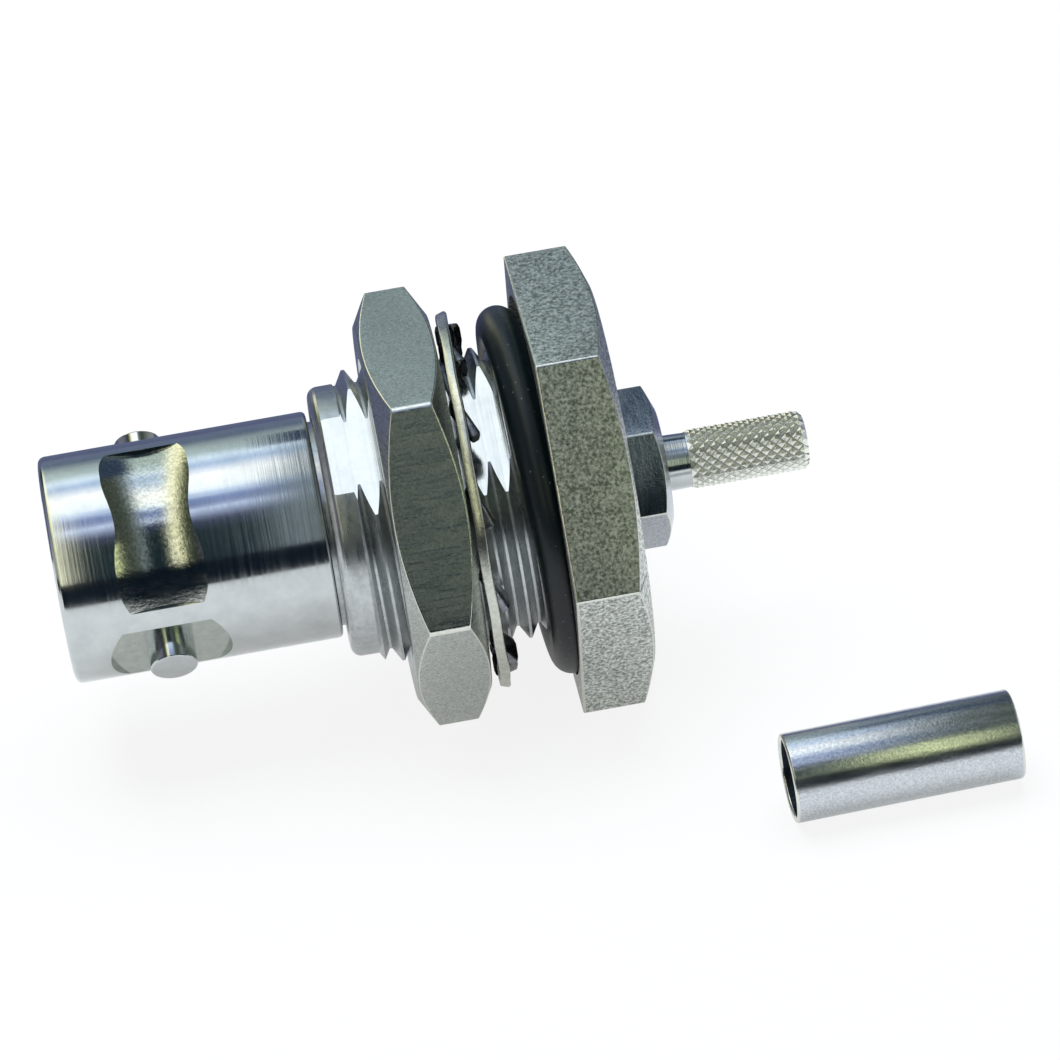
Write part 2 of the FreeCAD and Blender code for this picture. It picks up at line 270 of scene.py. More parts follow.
def makeDome():
    # What polished metal sees round it: dark on the camera's side, a thin lamp, a wide soft light
    # overhead and a dim blue wall behind. It is hidden from the camera itself.
    material, tree = newMaterial("studioCloth")
    place = addNode(tree, "TexCoord")
    part = addNode(tree, "SeparateXYZ", None, {0: place.outputs["Object"]})
    front = addNode(tree, "Math", {"operation": "MULTIPLY", 1: -1.0}, {0: part.outputs["Y"]})
    turn = addNode(tree, "Math", {"operation": "ARCTAN2"}, {0: part.outputs["Z"], 1: front.outputs[0]})
    share = addNode(tree, "Math", {"operation": "DIVIDE", 1: math.pi}, {0: turn.outputs[0]})
    lights = addNode(tree, "ValToRGB", None, {0: share.outputs[0]})
    setRamp(lights, studio["overAxis"])
    along = addNode(tree, "Math", {"operation": "DIVIDE", 1: studio["domeRadius"] * mm}, {0: part.outputs["X"]})
    side = addNode(tree, "MapRange", {"From Min": -1.0, "From Max": 1.0}, {"Value": along.outputs[0]})
    within = addNode(tree, "ValToRGB", None, {0: side.outputs[0]})
    setRamp(within, [(spot, (level, level, level)) for spot, level in studio["softLightSpan"]])
    walls = addNode(tree, "ValToRGB", None, {0: side.outputs[0]})
    setRamp(walls, studio["sideWalls"])
    mixed = addNode(tree, "Mix", {"data_type": "RGBA"},     # 6 and 7 are its two colours
                    {"Factor": within.outputs[0], 6: walls.outputs[0], 7: lights.outputs[0]})
    glow = addNode(tree, "Emission", {"Strength": 1.0}, {"Color": mixed.outputs[2]})
    addNode(tree, "OutputMaterial", None, {"Surface": glow.outputs[0]})
    bm = bmesh.new()
    bmesh.ops.create_uvsphere(bm, u_segments=48, v_segments=32, radius=studio["domeRadius"])
    bmesh.ops.bisect_plane(bm, geom=bm.verts[:] + bm.edges[:] + bm.faces[:],
                           plane_co=(0, 0, studio["domeFoot"]), plane_no=(0, 0, 1), clear_inner=True)
    dome = finishMesh(bm, "dome", [material])
    dome.visible_camera = False
    dome.visible_shadow = False


def makeSoftbox():
    lamp = bpy.data.lights.new("overheadSoftbox", "AREA")
    lamp.shape = "RECTANGLE"
    lamp.size, lamp.size_y = [side * mm for side in softbox["size"]]
    lamp.energy = softbox["power"]
    lamp.color = linear(softbox["colour"])[:3]
    thing = bpy.data.objects.new("overheadSoftbox", lamp)
    bpy.context.collection.objects.link(thing)
    spot = Vector(softbox["place"]) * mm
    thing.matrix_world = Matrix.Translation(spot) @ spot.to_track_quat("Z", "Y").to_matrix().to_4x4()
    thing.visible_camera = False
    thing.visible_glossy = False


makeFloor()
makeWorld()
makeDome()
for name, card in cards.items():
    addCard(name, *card)
makeSoftbox()
print("studio set")


def whole(bm, index=0, smooth=True):
    # A closed shape with its faces outwards and one finish all over
    bm.normal_update()
    bmesh.ops.recalc_face_normals(bm, faces=bm.faces)
    if bm.calc_volume(signed=True) < 0:
        bmesh.ops.reverse_faces(bm, faces=bm.faces)
    for face in bm.faces:
        face.material_index = index
        face.smooth = smooth
    return bm


def turned(profile, steps=256, closed=True, index=0):
    # An (x, radius) outline spun about the axis: closed in itself, or open with both ends on the axis
    bm = bmesh.new()
    verts = [bm.verts.new((x, 0, r)) for x, r in profile]
    edges = [bm.edges.new((verts[i], verts[i + 1])) for i in range(len(verts) - 1)]
    if closed:
        edges.append(bm.edges.new((verts[-1], verts[0])))
    bmesh.ops.spin(bm, geom=verts + edges, cent=origin, axis=xAxis, angle=2 * math.pi, steps=steps, use_merge=True)
    bmesh.ops.remove_doubles(bm, verts=bm.verts, dist=mergeGap)
    return whole(bm, index)


def rounded(x0, x1, r, edge, steps=4):
    # Outline of a round corner, from the face at x0 up to radius r
    points = []
    for i in range(steps + 1):
        a = math.pi / 2 * i / steps
        points.append((x0 + math.copysign(edge, x1 - x0) * (1 - math.cos(a)), r - edge * (1 - math.sin(a))))
    return points


def block(corners, way, index=0):
    # A flat face drawn out along a straight way
    bm = bmesh.new()
    face = bm.faces.new([bm.verts.new(corner) for corner in corners])
    grown = bmesh.ops.extrude_face_region(bm, geom=[face])["geom"]
    bmesh.ops.translate(bm, vec=way, verts=[v for v in grown if isinstance(v, bmesh.types.BMVert)])
    return whole(bm, index, smooth=False)


def cornerRadius(acrossFlats):
    return acrossFlats / 2 / math.cos(math.radians(30))


def hexPrism(x0, x1, acrossFlats, angle, index=0):
    corners = [xAxis * x0 + radial(angle + 60 * i) * cornerRadius(acrossFlats) for i in range(6)]
    return block(corners, xAxis * (x1 - x0), index)


def cornerEdges(bm):
    # A hexagon's six edges along the axis
    return [e for e in bm.edges if abs(e.verts[0].co.x - e.verts[1].co.x) > 1]


def softened(bm, edges, offset, segments=4, edgeFinish=-1):
    # Bevelled edges are round, the faces between them stay flat
    made = bmesh.ops.bevel(bm, geom=edges, offset=offset, segments=segments, profile=0.5, affect="EDGES",
                           material=edgeFinish)
    for face in made["faces"]:
        face.smooth = True
    return bm


def sharpLines(bm, offset, edgeFinish):
    # The bright line that turning leaves where a round cone meets the flats
    lines = []
    for e in bm.edges:
        slopes = sorted(abs(f.normal.x) for f in e.link_faces)
        if len(slopes) == 2 and slopes[0] < 0.05 and 0.1 < slopes[1] < 0.98:    # a flat beside a cone
            lines.append(e)
    return softened(bm, lines, offset, 2, edgeFinish)


def bevelCone(xFace, xBody, acrossFlats, inset, angle):
    # What a hexagon's corners are turned down to, towards the face at xFace
    outR = cornerRadius(acrossFlats) + overrun
    faceR = acrossFlats / 2 - inset
    drop = math.copysign((outR - faceR) * math.tan(math.radians(angle)), xBody - xFace)
    return [(xFace, 0), (xFace, faceR), (xFace + drop, outR)]


def pin(start, direction, length, radius, edge=0.0, index=0):
    bm = bmesh.new()
    bmesh.ops.create_cone(bm, cap_ends=True, segments=96, radius1=radius, radius2=radius, depth=length)
    if edge:
        softened(bm, [e for e in bm.edges if abs(e.verts[0].co.z - e.verts[1].co.z) < 0.001], edge)
    pointAlong(bm, direction)
    shift(bm, start + direction * (length / 2))
    return whole(bm, index)


def meshOf(bm):
    mesh = bpy.data.meshes.new("shape")
    bm.to_mesh(mesh)
    bm.free()
    return mesh


def together(*shapes):
    # Several closed shapes in one, without a boolean
    bm = bmesh.new()
    for shape in shapes:
        mesh = meshOf(shape)
        bm.from_mesh(mesh)
        bpy.data.meshes.remove(mesh)
    return bm


def joined(bm, other, operation, materials):
    # Boolean of two closed shapes: each face keeps its own finish
    meshes = [meshOf(bm), meshOf(other)]
    for mesh in meshes:
        for material in materials:
            mesh.materials.append(material)
    blank, tool = [bpy.data.objects.new("shape", mesh) for mesh in meshes]
    for thing in (blank, tool):
        bpy.context.collection.objects.link(thing)
    step = blank.modifiers.new("step", "BOOLEAN")
    step.operation = operation
    step.solver = "EXACT"
    step.material_mode = "INDEX"
    step.object = tool
    done = bpy.data.meshes.new_from_object(blank.evaluated_get(bpy.context.evaluated_depsgraph_get()))
    result = bmesh.new()
    result.from_mesh(done)
    for thing in (blank, tool):
        bpy.data.objects.remove(thing)
    for mesh in meshes + [done]:
        bpy.data.meshes.remove(mesh)
    return result


# What all the plated finishes share. Real tool marks lie about 0.02 to 0.05 mm apart and the crystals of
# the plate are finer still. Both are drawn coarser, so that they show: each finish says how many to the mm.
plate = {
    "markDetail": 4.0, "markRoughness": 0.6, "markDepth": 0.02,         # mm
    "markRange": (0.3, 0.7),        # the marks' noise between these goes from the smoothest to the dullest
    "grainDetail": 6.0, "grainRoughness": 0.65, "grainDepth": 0.03,     # mm
    "speck": 0.32, "clear": 0.62,   # the grain's noise is dark below the first and light above the second
}


def metalMaterial(name, look):
    # Nickel plate over machined brass. The plate keeps the tool marks of the metal under it.
    material, tree = newMaterial(name)
    place = addNode(tree, "TexCoord").outputs["Object"]
    lines = addNode(tree, "Mapping", {"Scale": [count / mm for count in look["marksPerMm"]]}, {"Vector": place})
    marks = addNode(tree, "TexNoise",
                    {"Scale": 1.0, "Detail": plate["markDetail"], "Roughness": plate["markRoughness"]},
                    {"Vector": lines.outputs[0]})
    grain = addNode(tree, "TexNoise",
                    {"Scale": look["grainsPerMm"] / mm, "Detail": plate["grainDetail"],
                     "Roughness": plate["grainRoughness"]},
                    {"Vector": place})
    tone = addNode(tree, "ValToRGB", None, {0: grain.outputs[0]})
    setRamp(tone, [(look.get("speck", plate["speck"]), look["dark"]), (plate["clear"], look["light"])])
    rough = addNode(tree, "MapRange",
                    {"From Min": plate["markRange"][0], "From Max": plate["markRange"][1],
                     "To Min": look["rough"][0], "To Max": look["rough"][1]},
                    {"Value": marks.outputs[0]})
    bump = addNode(tree, "Bump", {"Strength": look["markBump"], "Distance": plate["markDepth"] * mm},
                   {"Height": marks.outputs[0]})
    pits = addNode(tree, "Bump", {"Strength": look["grainBump"], "Distance": plate["grainDepth"] * mm},
                   {"Height": grain.outputs[0], "Normal": bump.outputs[0]})
    metal = addNode(tree, "BsdfPrincipled", {"Metallic": 1.0},
                    {"Base Color": tone.outputs[0], "Roughness": rough.outputs[0], "Normal": pits.outputs[0]})
    addNode(tree, "OutputMaterial", None, {"Surface": metal.outputs[0]})
    return material


# Single point turning: fine hoops round the barrel, which draw each reflection out along the axis
turnedNickel = metalMaterial("turnedNickelPlate", {
    "marksPerMm": (9, 0.12, 0.12), "grainsPerMm": 0.9, "dark": "#c0c5c6", "light": "#cdd1d1",
    "rough": (0.10, 0.19), "markBump": 0.17, "grainBump": 0.03})
# Die cut thread: the same hoops, torn a little, so the flanks are duller
threadNickel = metalMaterial("cutThreadNickelPlate", {
    "marksPerMm": (6, 0.6, 0.6), "grainsPerMm": 3, "dark": "#b3b7b8", "light": "#c8cccd",
    "rough": (0.24, 0.36), "markBump": 0.2, "grainBump": 0.12})
# Form cutter fed round the barrel: almost a mirror, with short strokes along the axis and a fine glitter
milledSaddle = metalMaterial("formMilledNickelPlate", {
    "marksPerMm": (0.5, 6, 6), "grainsPerMm": 7, "dark": "#a9ada6", "light": "#d3d6cf",
    "rough": (0.07, 0.15), "markBump": 0.10, "grainBump": 0.20})
# End mill: an even satin floor round each lug
spotNickel = metalMaterial("endMilledNickelPlate", {
    "marksPerMm": (1.5, 1.5, 1.5), "grainsPerMm": 2.5, "dark": "#b3bab4", "light": "#c2c8c2",
    "rough": (0.18, 0.28), "markBump": 0.15, "grainBump": 0.1})
# Skin of drawn hexagon bar on the flange: matt, pitted, speckled dark and light
barNickel = metalMaterial("drawnBarNickelPlate", {
    "marksPerMm": (3.3, 3.3, 3.3), "grainsPerMm": 7, "dark": "#7f867f", "light": "#eef1ed", "speck": 0.39,
    "rough": (0.31, 0.48), "markBump": 0.15, "grainBump": 0.3})
# Milled flats of the nut: grey satin with long strokes along the axis
milledNickel = metalMaterial("milledNickelPlate", {
    "marksPerMm": (0.6, 0.6, 10), "grainsPerMm": 9, "dark": "#9aa09c", "light": "#cbd0cc",
    "rough": (0.23, 0.36), "markBump": 0.3, "grainBump": 0.2})
# Small drawn hexagon: smooth enough to mirror the dark room, a little blue
hexNickel = metalMaterial("smallHexNickelPlate", {
    "marksPerMm": (6, 0.9, 0.9), "grainsPerMm": 9, "dark": "#9aa0a6", "light": "#bec3c9",
    "rough": (0.12, 0.20), "markBump": 0.15, "grainBump": 0.12})
# Rolled knurl: glittering diamonds of nickel, painted paler than the plate elsewhere as a highlight on their tops
knurlHighlightNickel = metalMaterial("rolledKnurlPaintedHighlightPlate", {
    "marksPerMm": (6, 2.5, 2.5), "grainsPerMm": 9, "dark": "#e2e5da", "light": "#fafbf4",
    "rough": (0.24, 0.38), "markBump": 0.4, "grainBump": 0.4})
# Grooves between the diamonds: matt, and painted darker as the shade that falls in them
grooveShadeNickel = metalMaterial("knurlGroovePaintedShadePlate", {
    "marksPerMm": (6, 2.5, 2.5), "grainsPerMm": 9, "dark": "#8b9085", "light": "#b2b6ab",
    "rough": (0.36, 0.52), "markBump": 0.3, "grainBump": 0.3})
# Stamped spring bronze: the washer's warm satin rim
stampedNickel = metalMaterial("stampedNickelPlate", {
    "marksPerMm": (1.5, 1.5, 1.5), "grainsPerMm": 4, "dark": "#bcbfb4", "light": "#d3d5cb",
    "rough": (0.18, 0.32), "markBump": 0.2, "grainBump": 0.3})
# Sheared and twisted teeth: dull, and painted dark grey as the shade between the nut and the rim
toothShadeNickel = metalMaterial("stampedToothPaintedShadePlate", {
    "marksPerMm": (1.5, 1.5, 1.5), "grainsPerMm": 4, "dark": "#6f7078", "light": "#95969e",
    "rough": (0.22, 0.36), "markBump": 0.2, "grainBump": 0.3})
# Drawn tube: hair lines along the ferrule and broad soft bands of light
ferruleNickel = metalMaterial("drawnTubeNickelPlate", {
    "marksPerMm": (0.5, 5, 5), "grainsPerMm": 10, "dark": "#b4babf", "light": "#d8dcdf",
    "rough": (0.17, 0.28), "markBump": 0.12, "grainBump": 0.20})
# Inside of the drawn tube: dull, and painted dark as the shade inside the bore
boreShadeNickel = metalMaterial("drawnTubeBorePaintedShadePlate", {
    "marksPerMm": (0.5, 5, 5), "grainsPerMm": 9, "dark": "#252b34", "light": "#39414c",
    "rough": (0.30, 0.45), "markBump": 0.2, "grainBump": 0.3})
# Burnished edges: the thin bright line along each corner
edgeNickel = metalMaterial("polishedEdgeNickelPlate", {
    "marksPerMm": (2.5, 2.5, 2.5), "grainsPerMm": 5, "dark": "#cfd2c8", "light": "#e2e4dc",
    "rough": (0.12, 0.30), "markBump": 0.4, "grainBump": 0.2})
# Gold over nickel on the turned contact: warm and smooth
goldPlate = metalMaterial("goldPlate", {
    "marksPerMm": (6, 0.2, 0.2), "grainsPerMm": 1.5, "dark": "#e0b45a", "light": "#edc874",
    "rough": (0.15, 0.25), "markBump": 0.1, "grainBump": 0.05})

rubberLook = {
    "dustPerMm": 2.6, "dust": (0.05, "#565d60"), "skin": (0.13, "#0a161a"),     # dust is drawn coarser, to show
    "grainsPerMm": 3.0, "grainDetail": 5.0, "grainDepth": 0.03, "bump": 0.35,
    "roughness": 0.36, "specular": 0.4,
}
insulatorLook = {
    "marksPerMm": (8, 0.3, 0.3), "markDetail": 3.0, "markDepth": 0.02, "bump": 0.15,
    "dark": (0.3, "#e4e3dc"), "light": (0.7, "#efeee9"),
    "roughness": 0.45, "ior": 1.38,
}


def rubberMaterial():
    # Moulded nitrile rubber: black with a soft sheen and fine specks of dust
    look = rubberLook
    material, tree = newMaterial("mouldedNitrileRubber")
    place = addNode(tree, "TexCoord").outputs["Object"]
    dust = addNode(tree, "TexVoronoi", {"Scale": look["dustPerMm"] / mm}, {"Vector": place})
    fleck = addNode(tree, "ValToRGB", None, {0: dust.outputs["Distance"]})
    setRamp(fleck, [look["dust"], look["skin"]])
    grain = addNode(tree, "TexNoise", {"Scale": look["grainsPerMm"] / mm, "Detail": look["grainDetail"]},
                    {"Vector": place})
    bump = addNode(tree, "Bump", {"Strength": look["bump"], "Distance": look["grainDepth"] * mm},
                   {"Height": grain.outputs[0]})
    skin = addNode(tree, "BsdfPrincipled",
                   {"Roughness": look["roughness"], "Specular IOR Level": look["specular"]},
                   {"Base Color": fleck.outputs[0], "Normal": bump.outputs[0]})
    addNode(tree, "OutputMaterial", None, {"Surface": skin.outputs[0]})
    return material


def insulatorMaterial():
    # Turned fluoropolymer: waxy white with faint hoops from the tool
    look = insulatorLook
    material, tree = newMaterial("turnedFluoropolymer")
    place = addNode(tree, "TexCoord").outputs["Object"]
    lines = addNode(tree, "Mapping", {"Scale": [count / mm for count in look["marksPerMm"]]}, {"Vector": place})
    marks = addNode(tree, "TexNoise", {"Scale": 1.0, "Detail": look["markDetail"]}, {"Vector": lines.outputs[0]})
    tone = addNode(tree, "ValToRGB", None, {0: marks.outputs[0]})
    setRamp(tone, [look["dark"], look["light"]])
    bump = addNode(tree, "Bump", {"Strength": look["bump"], "Distance": look["markDepth"] * mm},
                   {"Height": marks.outputs[0]})
    skin = addNode(tree, "BsdfPrincipled", {"Roughness": look["roughness"], "IOR": look["ior"]},
                   {"Base Color": tone.outputs[0], "Normal": bump.outputs[0]})
    addNode(tree, "OutputMaterial", None, {"Surface": skin.outputs[0]})
    return material


rubber = rubberMaterial()
insulator = insulatorMaterial()
print("materials made")


def settle(piece, bodyName, node):
    # The finished piece moves with its body and stands in for the plain solid
    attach(piece, bodyName)
    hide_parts(node)
    print(piece.name, "made,", len(piece.data.polygons), "faces")


# Connector body, made as the real one is: turned, milled, drilled and threaded
body = {
    "frontX": -20.8, "barrelR": 4.825, "mouthEdge": 0.3, "barrelEdge": 0.2,
    "undercutX": -9.4, "undercutR": 4.35,
    "collarX": -9.2, "collarR": 5.75, "collarEdge": 0.45, "collarSteps": 6,
    "leadInX": -8.05, "leadInEndX": -7.75, "threadEndX": -1.4, "reliefR": 6.0, "reliefSink": 0.3,
    "flangeAcross": 17.0, "flangeT": 3.23, "flangeInset": 0.3, "flangeBevel": 20,
    "flangeEdge": 0.08, "flangeLine": 0.035,
    "recessDepth": 1.2, "recessR": 8.13,
    "mouthR": 4.2, "mouthDepth": 1.6, "mouthTaper": 0.5, "socketR": 4.06, "socketX": -12.4,
    "insulatorR": 3.5, "insulatorEndX": -1.5, "shankR": 2.5,
}
lug = {
    "x": -16.6, "angle": -30, "r": 1.0, "reach": 5.5, "edge": 0.1,
    "spotR": 2.55, "spotLevel": 4.5, "spotCut": 3,
}
saddle = {
    "x": -16.43, "angle": 49, "halfSpan": 47, "width": 3.16, "depth": 0.22,
    "flare": 0.085, "flareSpan": 26,    # it deepens this much within this angle from its middle
    "runOut": 1.2, "runLift": 0.1,      # and rises gently again before its ends
    "cutterRise": 2.6,                  # the cutter's arc goes on to this many depths, out of the metal ...
    "cutterWall": 1.6, "arcSteps": 32, "turnSteps": 160,    # ... and is closed this far above its floor
    "waver": 0.001,                     # the floor wavers by this much round the barrel, in two waves:
    "waves": [(1, 0.31, 1), (0.6, 0.83, 0.4)],  # share of it, rate for each degree, start
}
flat = {"angle": 60, "level": 5.45, "startX": -8.85, "endX": -1.4, "halfWidth": 8, "cut": 3}
thread = {
    "pitch": 25.4 / 28, "turns": 8, "steps": 96,
    "crestR": 6.25, "rootR": 5.66, "rootFlat": 0.11, "halfAngle": 30,
    "crestClear": 0.01, "cutterTop": 0.4,       # the groove's cutter goes this far above the crests
    "phaseX": -1.527, "phaseAngle": -103.7,     # a crest lies here, on this side
}
bodyFinishes = [turnedNickel, threadNickel, milledSaddle, spotNickel, barNickel, edgeNickel]
turnedFace, threadFace, saddleFace, spotFace, barFace, lineFace = range(6)


def threadGroove():
    # A 60 degree groove section swung round the axis and along it, one pitch a turn
    t = thread
    crest, top = t["crestR"] + t["crestClear"], t["crestR"] + t["cutterTop"]
    halfRoot = t["rootFlat"] / 2
    halfTop = halfRoot + (crest - t["rootR"]) * math.tan(math.radians(t["halfAngle"]))
    begin = t["phaseX"] + t["pitch"] / 2 - t["turns"] * t["pitch"]
    section = [(-halfRoot, t["rootR"]), (halfRoot, t["rootR"]), (halfTop, crest), (halfTop, top),
               (-halfTop, top), (-halfTop, crest)]
    side = radial(t["phaseAngle"])
    bm = bmesh.new()
    face = bm.faces.new([bm.verts.new(xAxis * (begin + x) + side * r) for x, r in section])
    bmesh.ops.spin(bm, geom=[face], cent=origin, axis=xAxis, dvec=xAxis * (t["pitch"] / t["steps"]),
                   angle=2 * math.pi * t["turns"], steps=t["steps"] * t["turns"])
    return whole(bm, threadFace)


def saddleCutter(angle):
    # Shallow arc along the axis, carried round the barrel, a little deeper on both sides of its middle
    s = saddle
    arcR = ((s["width"] / 2) ** 2 + s["depth"] ** 2) / (2 * s["depth"])
    sweep = math.acos(1 - s["cutterRise"] * s["depth"] / arcR)
    floorR = body["barrelR"] - s["depth"]
    centre = xAxis * s["x"]
    outward = radial(angle + s["halfSpan"])
    bm = bmesh.new()
    verts = []
    for i in range(s["arcSteps"] + 1):
        a = -sweep + 2 * sweep * i / s["arcSteps"]
        along, out = arcR * math.sin(a), floorR + arcR * (1 - math.cos(a))
        verts.append(bm.verts.new(centre + xAxis * along + outward * out))
    for side in (1, -1):
        along, out = side * arcR * math.sin(sweep), floorR + s["cutterWall"]
        verts.append(bm.verts.new(centre + xAxis * along + outward * out))
    face = bm.faces.new(verts)
    bmesh.ops.spin(bm, geom=[face], cent=centre, axis=xAxis, angle=math.radians(2 * s["halfSpan"]),
                   steps=s["turnSteps"])
    for v in bm.verts:
        arm = Vector((0, v.co.y, v.co.z))
        turn = math.degrees(math.atan2(arm.z, -arm.y))
        wave = sum(share * math.sin(turn * rate + start) for share, rate, start in s["waves"])
        away = abs((turn - angle + 180) % 360 - 180)
        deeper = s["flare"] * (1 - math.cos(math.pi * min(away / s["flareSpan"], 1))) / 2
        past = max(math.radians(away - s["halfSpan"]) * floorR + s["runOut"], 0)
        lift = s["runLift"] * (past / s["runOut"]) ** 2
        v.co += arm.normalized() * (s["waver"] * wave - deeper + lift)
    return whole(bm, saddleFace)


def flatCutter():
    # Everything outside the flat for a D shaped hole
    f = flat
    up, across = radial(f["angle"]), radial(f["angle"] + 90)
    side = f["halfWidth"]
    corners = [(f["startX"], -side), (f["endX"], -side), (f["endX"], side), (f["startX"], side)]
    return block([xAxis * x + across * w + up * f["level"] for x, w in corners], up * f["cut"], turnedFace)


def makeBody():
    b = body
    bm = turned([(b["frontX"], 0)] + rounded(b["frontX"], 0, b["barrelR"], b["mouthEdge"])
                + rounded(b["undercutX"], b["frontX"], b["barrelR"], b["barrelEdge"])[::-1]
                + [(b["undercutX"], b["undercutR"]), (b["collarX"], b["undercutR"])]
                + rounded(b["collarX"], 0, b["collarR"], b["collarEdge"], b["collarSteps"])
                + [(b["leadInX"], b["collarR"]), (b["leadInEndX"], thread["crestR"]),
                   (b["threadEndX"], thread["crestR"]), (b["threadEndX"], b["reliefR"]),
                   (b["recessDepth"] + b["reliefSink"], b["reliefR"]), (b["recessDepth"] + b["reliefSink"], 0)],
                closed=False)
    for face in bm.faces:
        if face.calc_center_median().x > b["undercutX"]:
            face.material_index = threadFace
    # Flange, its corners turned down towards the cable end
    flange = hexPrism(0, b["flangeT"], b["flangeAcross"], 0, barFace)
    panelEdges = [e for e in flange.edges if all(abs(v.co.x) < 0.001 for v in e.verts)]
    softened(flange, cornerEdges(flange) + panelEdges, b["flangeEdge"], 4, lineFace)
    cone = bevelCone(b["flangeT"], 0, b["flangeAcross"], b["flangeInset"], b["flangeBevel"])
    cone += [(-overrun, cone[-1][1]), (-overrun, 0)]
    flange = joined(flange, turned(cone, closed=False, index=barFace), "INTERSECT", bodyFinishes)
    flange = sharpLines(flange, b["flangeLine"], lineFace)
    bm = joined(bm, flange, "UNION", bodyFinishes)
    # Milling: two saddles, the flat, and the spot faces that the lugs stand in
    cuts = [saddleCutter(saddle["angle"]), saddleCutter(saddle["angle"] + 180), flatCutter()]
    for angle in (lug["angle"], lug["angle"] + 180):
        cuts.append(pin(xAxis * lug["x"] + radial(angle) * lug["spotLevel"], radial(angle), lug["spotCut"],
                        lug["spotR"], index=spotFace))
    bm = joined(bm, together(*cuts), "DIFFERENCE", bodyFinishes)
    lugBar = pin(xAxis * lug["x"] - radial(lug["angle"]) * lug["reach"], radial(lug["angle"]), 2 * lug["reach"],
                 lug["r"], lug["edge"], turnedFace)
    bm = joined(bm, lugBar, "UNION", bodyFinishes)
    # Bores, the ring's recess and the thread
    front, mouthEndX, back = b["frontX"] - overrun, b["frontX"] + b["mouthDepth"], b["flangeT"] + overrun
    bores = turned([(front, 0), (front, b["mouthR"]), (mouthEndX, b["mouthR"]),
                    (mouthEndX + b["mouthTaper"], b["socketR"]), (b["socketX"], b["socketR"]),
                    (b["socketX"], b["insulatorR"]), (b["insulatorEndX"], b["insulatorR"]),
                    (b["insulatorEndX"], b["shankR"]), (back, b["shankR"]), (back, 0)], closed=False)
    recess = turned([(-shortOverrun, b["reliefR"]), (b["recessDepth"], b["reliefR"]),
                     (b["recessDepth"], b["recessR"]), (-shortOverrun, b["recessR"])], index=barFace)
    bm = joined(bm, together(bores, recess, threadGroove()), "DIFFERENCE", bodyFinishes)
    settle(finishMesh(bm, "threadedBody", bodyFinishes), "connector", "connector_body")


makeBody()

# Crimp body with its diamond knurl
crimp = {
    "hexAcross": 6.0, "hexX": 3.23, "hexEndX": 5.14, "hexInset": 0.55, "hexBevel": 22, "hexAngle": -5.9,
    "hexEdge": 0.06, "hexLine": 0.03,
    "shankX": -0.58, "shankR": 2.47, "shankSink": 0.2,      # the shank goes this far into the hexagon
    "neckR": 1.2, "neckEndR": 1.165, "neckEndX": 6.29, "neckTuck": 0.1,
    "tubeEndX": 11.27, "endRound": 0.35, "endBevel": 0.3,
    "boreR": 0.8, "chamberR": 1.57, "chamberEndX": 1.28, "steps": 128,
}
knurl = {"startX": 6.2, "peakR": 1.275, "valleyR": 1.19, "around": 18, "rows": 11, "gap": 0.025}
crimpFinishes = [turnedNickel, hexNickel, knurlHighlightNickel, edgeNickel, grooveShadeNickel]
neckFace, hexFace, knurlHighlightFace, hexLineFace, grooveShadeFace = range(5)


def knurlSleeve():
    # Squares on a tube, turned into diamonds by joining across their sides, each drawn up to a point
    k, c = knurl, crimp
    bm = bmesh.new()
    step = (c["tubeEndX"] - k["startX"]) / k["rows"]
    verts = [bm.verts.new((k["startX"] + step * i, 0, k["valleyR"])) for i in range(k["rows"] + 1)]
    line = [bm.edges.new((verts[i], verts[i + 1])) for i in range(k["rows"])]
    bmesh.ops.spin(bm, geom=verts + line, cent=origin, axis=xAxis, angle=2 * math.pi, steps=k["around"],
                   use_merge=True)
    bmesh.ops.remove_doubles(bm, verts=bm.verts, dist=mergeGap)
    sides = [e for e in bm.edges if not e.is_boundary]
    bmesh.ops.poke(bm, faces=bm.faces)
    bmesh.ops.dissolve_edges(bm, edges=sides, use_verts=False)
    diamonds = [f for f in bm.faces if len(f.verts) == 4]
    grooves = bmesh.ops.inset_individual(bm, faces=diamonds, thickness=k["gap"])["faces"]
    points = set(bmesh.ops.poke(bm, faces=diamonds)["verts"])
    for v in bm.verts:
        want = k["peakR"] if v in points else k["valleyR"]
        past = v.co.x - (c["tubeEndX"] - c["endRound"])
        if past > 0:    # the tube's end is round
            want = min(want, k["peakR"] - c["endRound"] + math.sqrt(max(c["endRound"] ** 2 - past ** 2, 0)))
        r = math.hypot(v.co.y, v.co.z)
        v.co.y *= want / r
        v.co.z *= want / r
    # The diamonds take the pale finish, which is in part a painted highlight
    whole(bm, knurlHighlightFace, smooth=False)
    # The grooves take the dark finish, which is painted shade
    for face in grooves:
        face.material_index = grooveShadeFace
    return bm


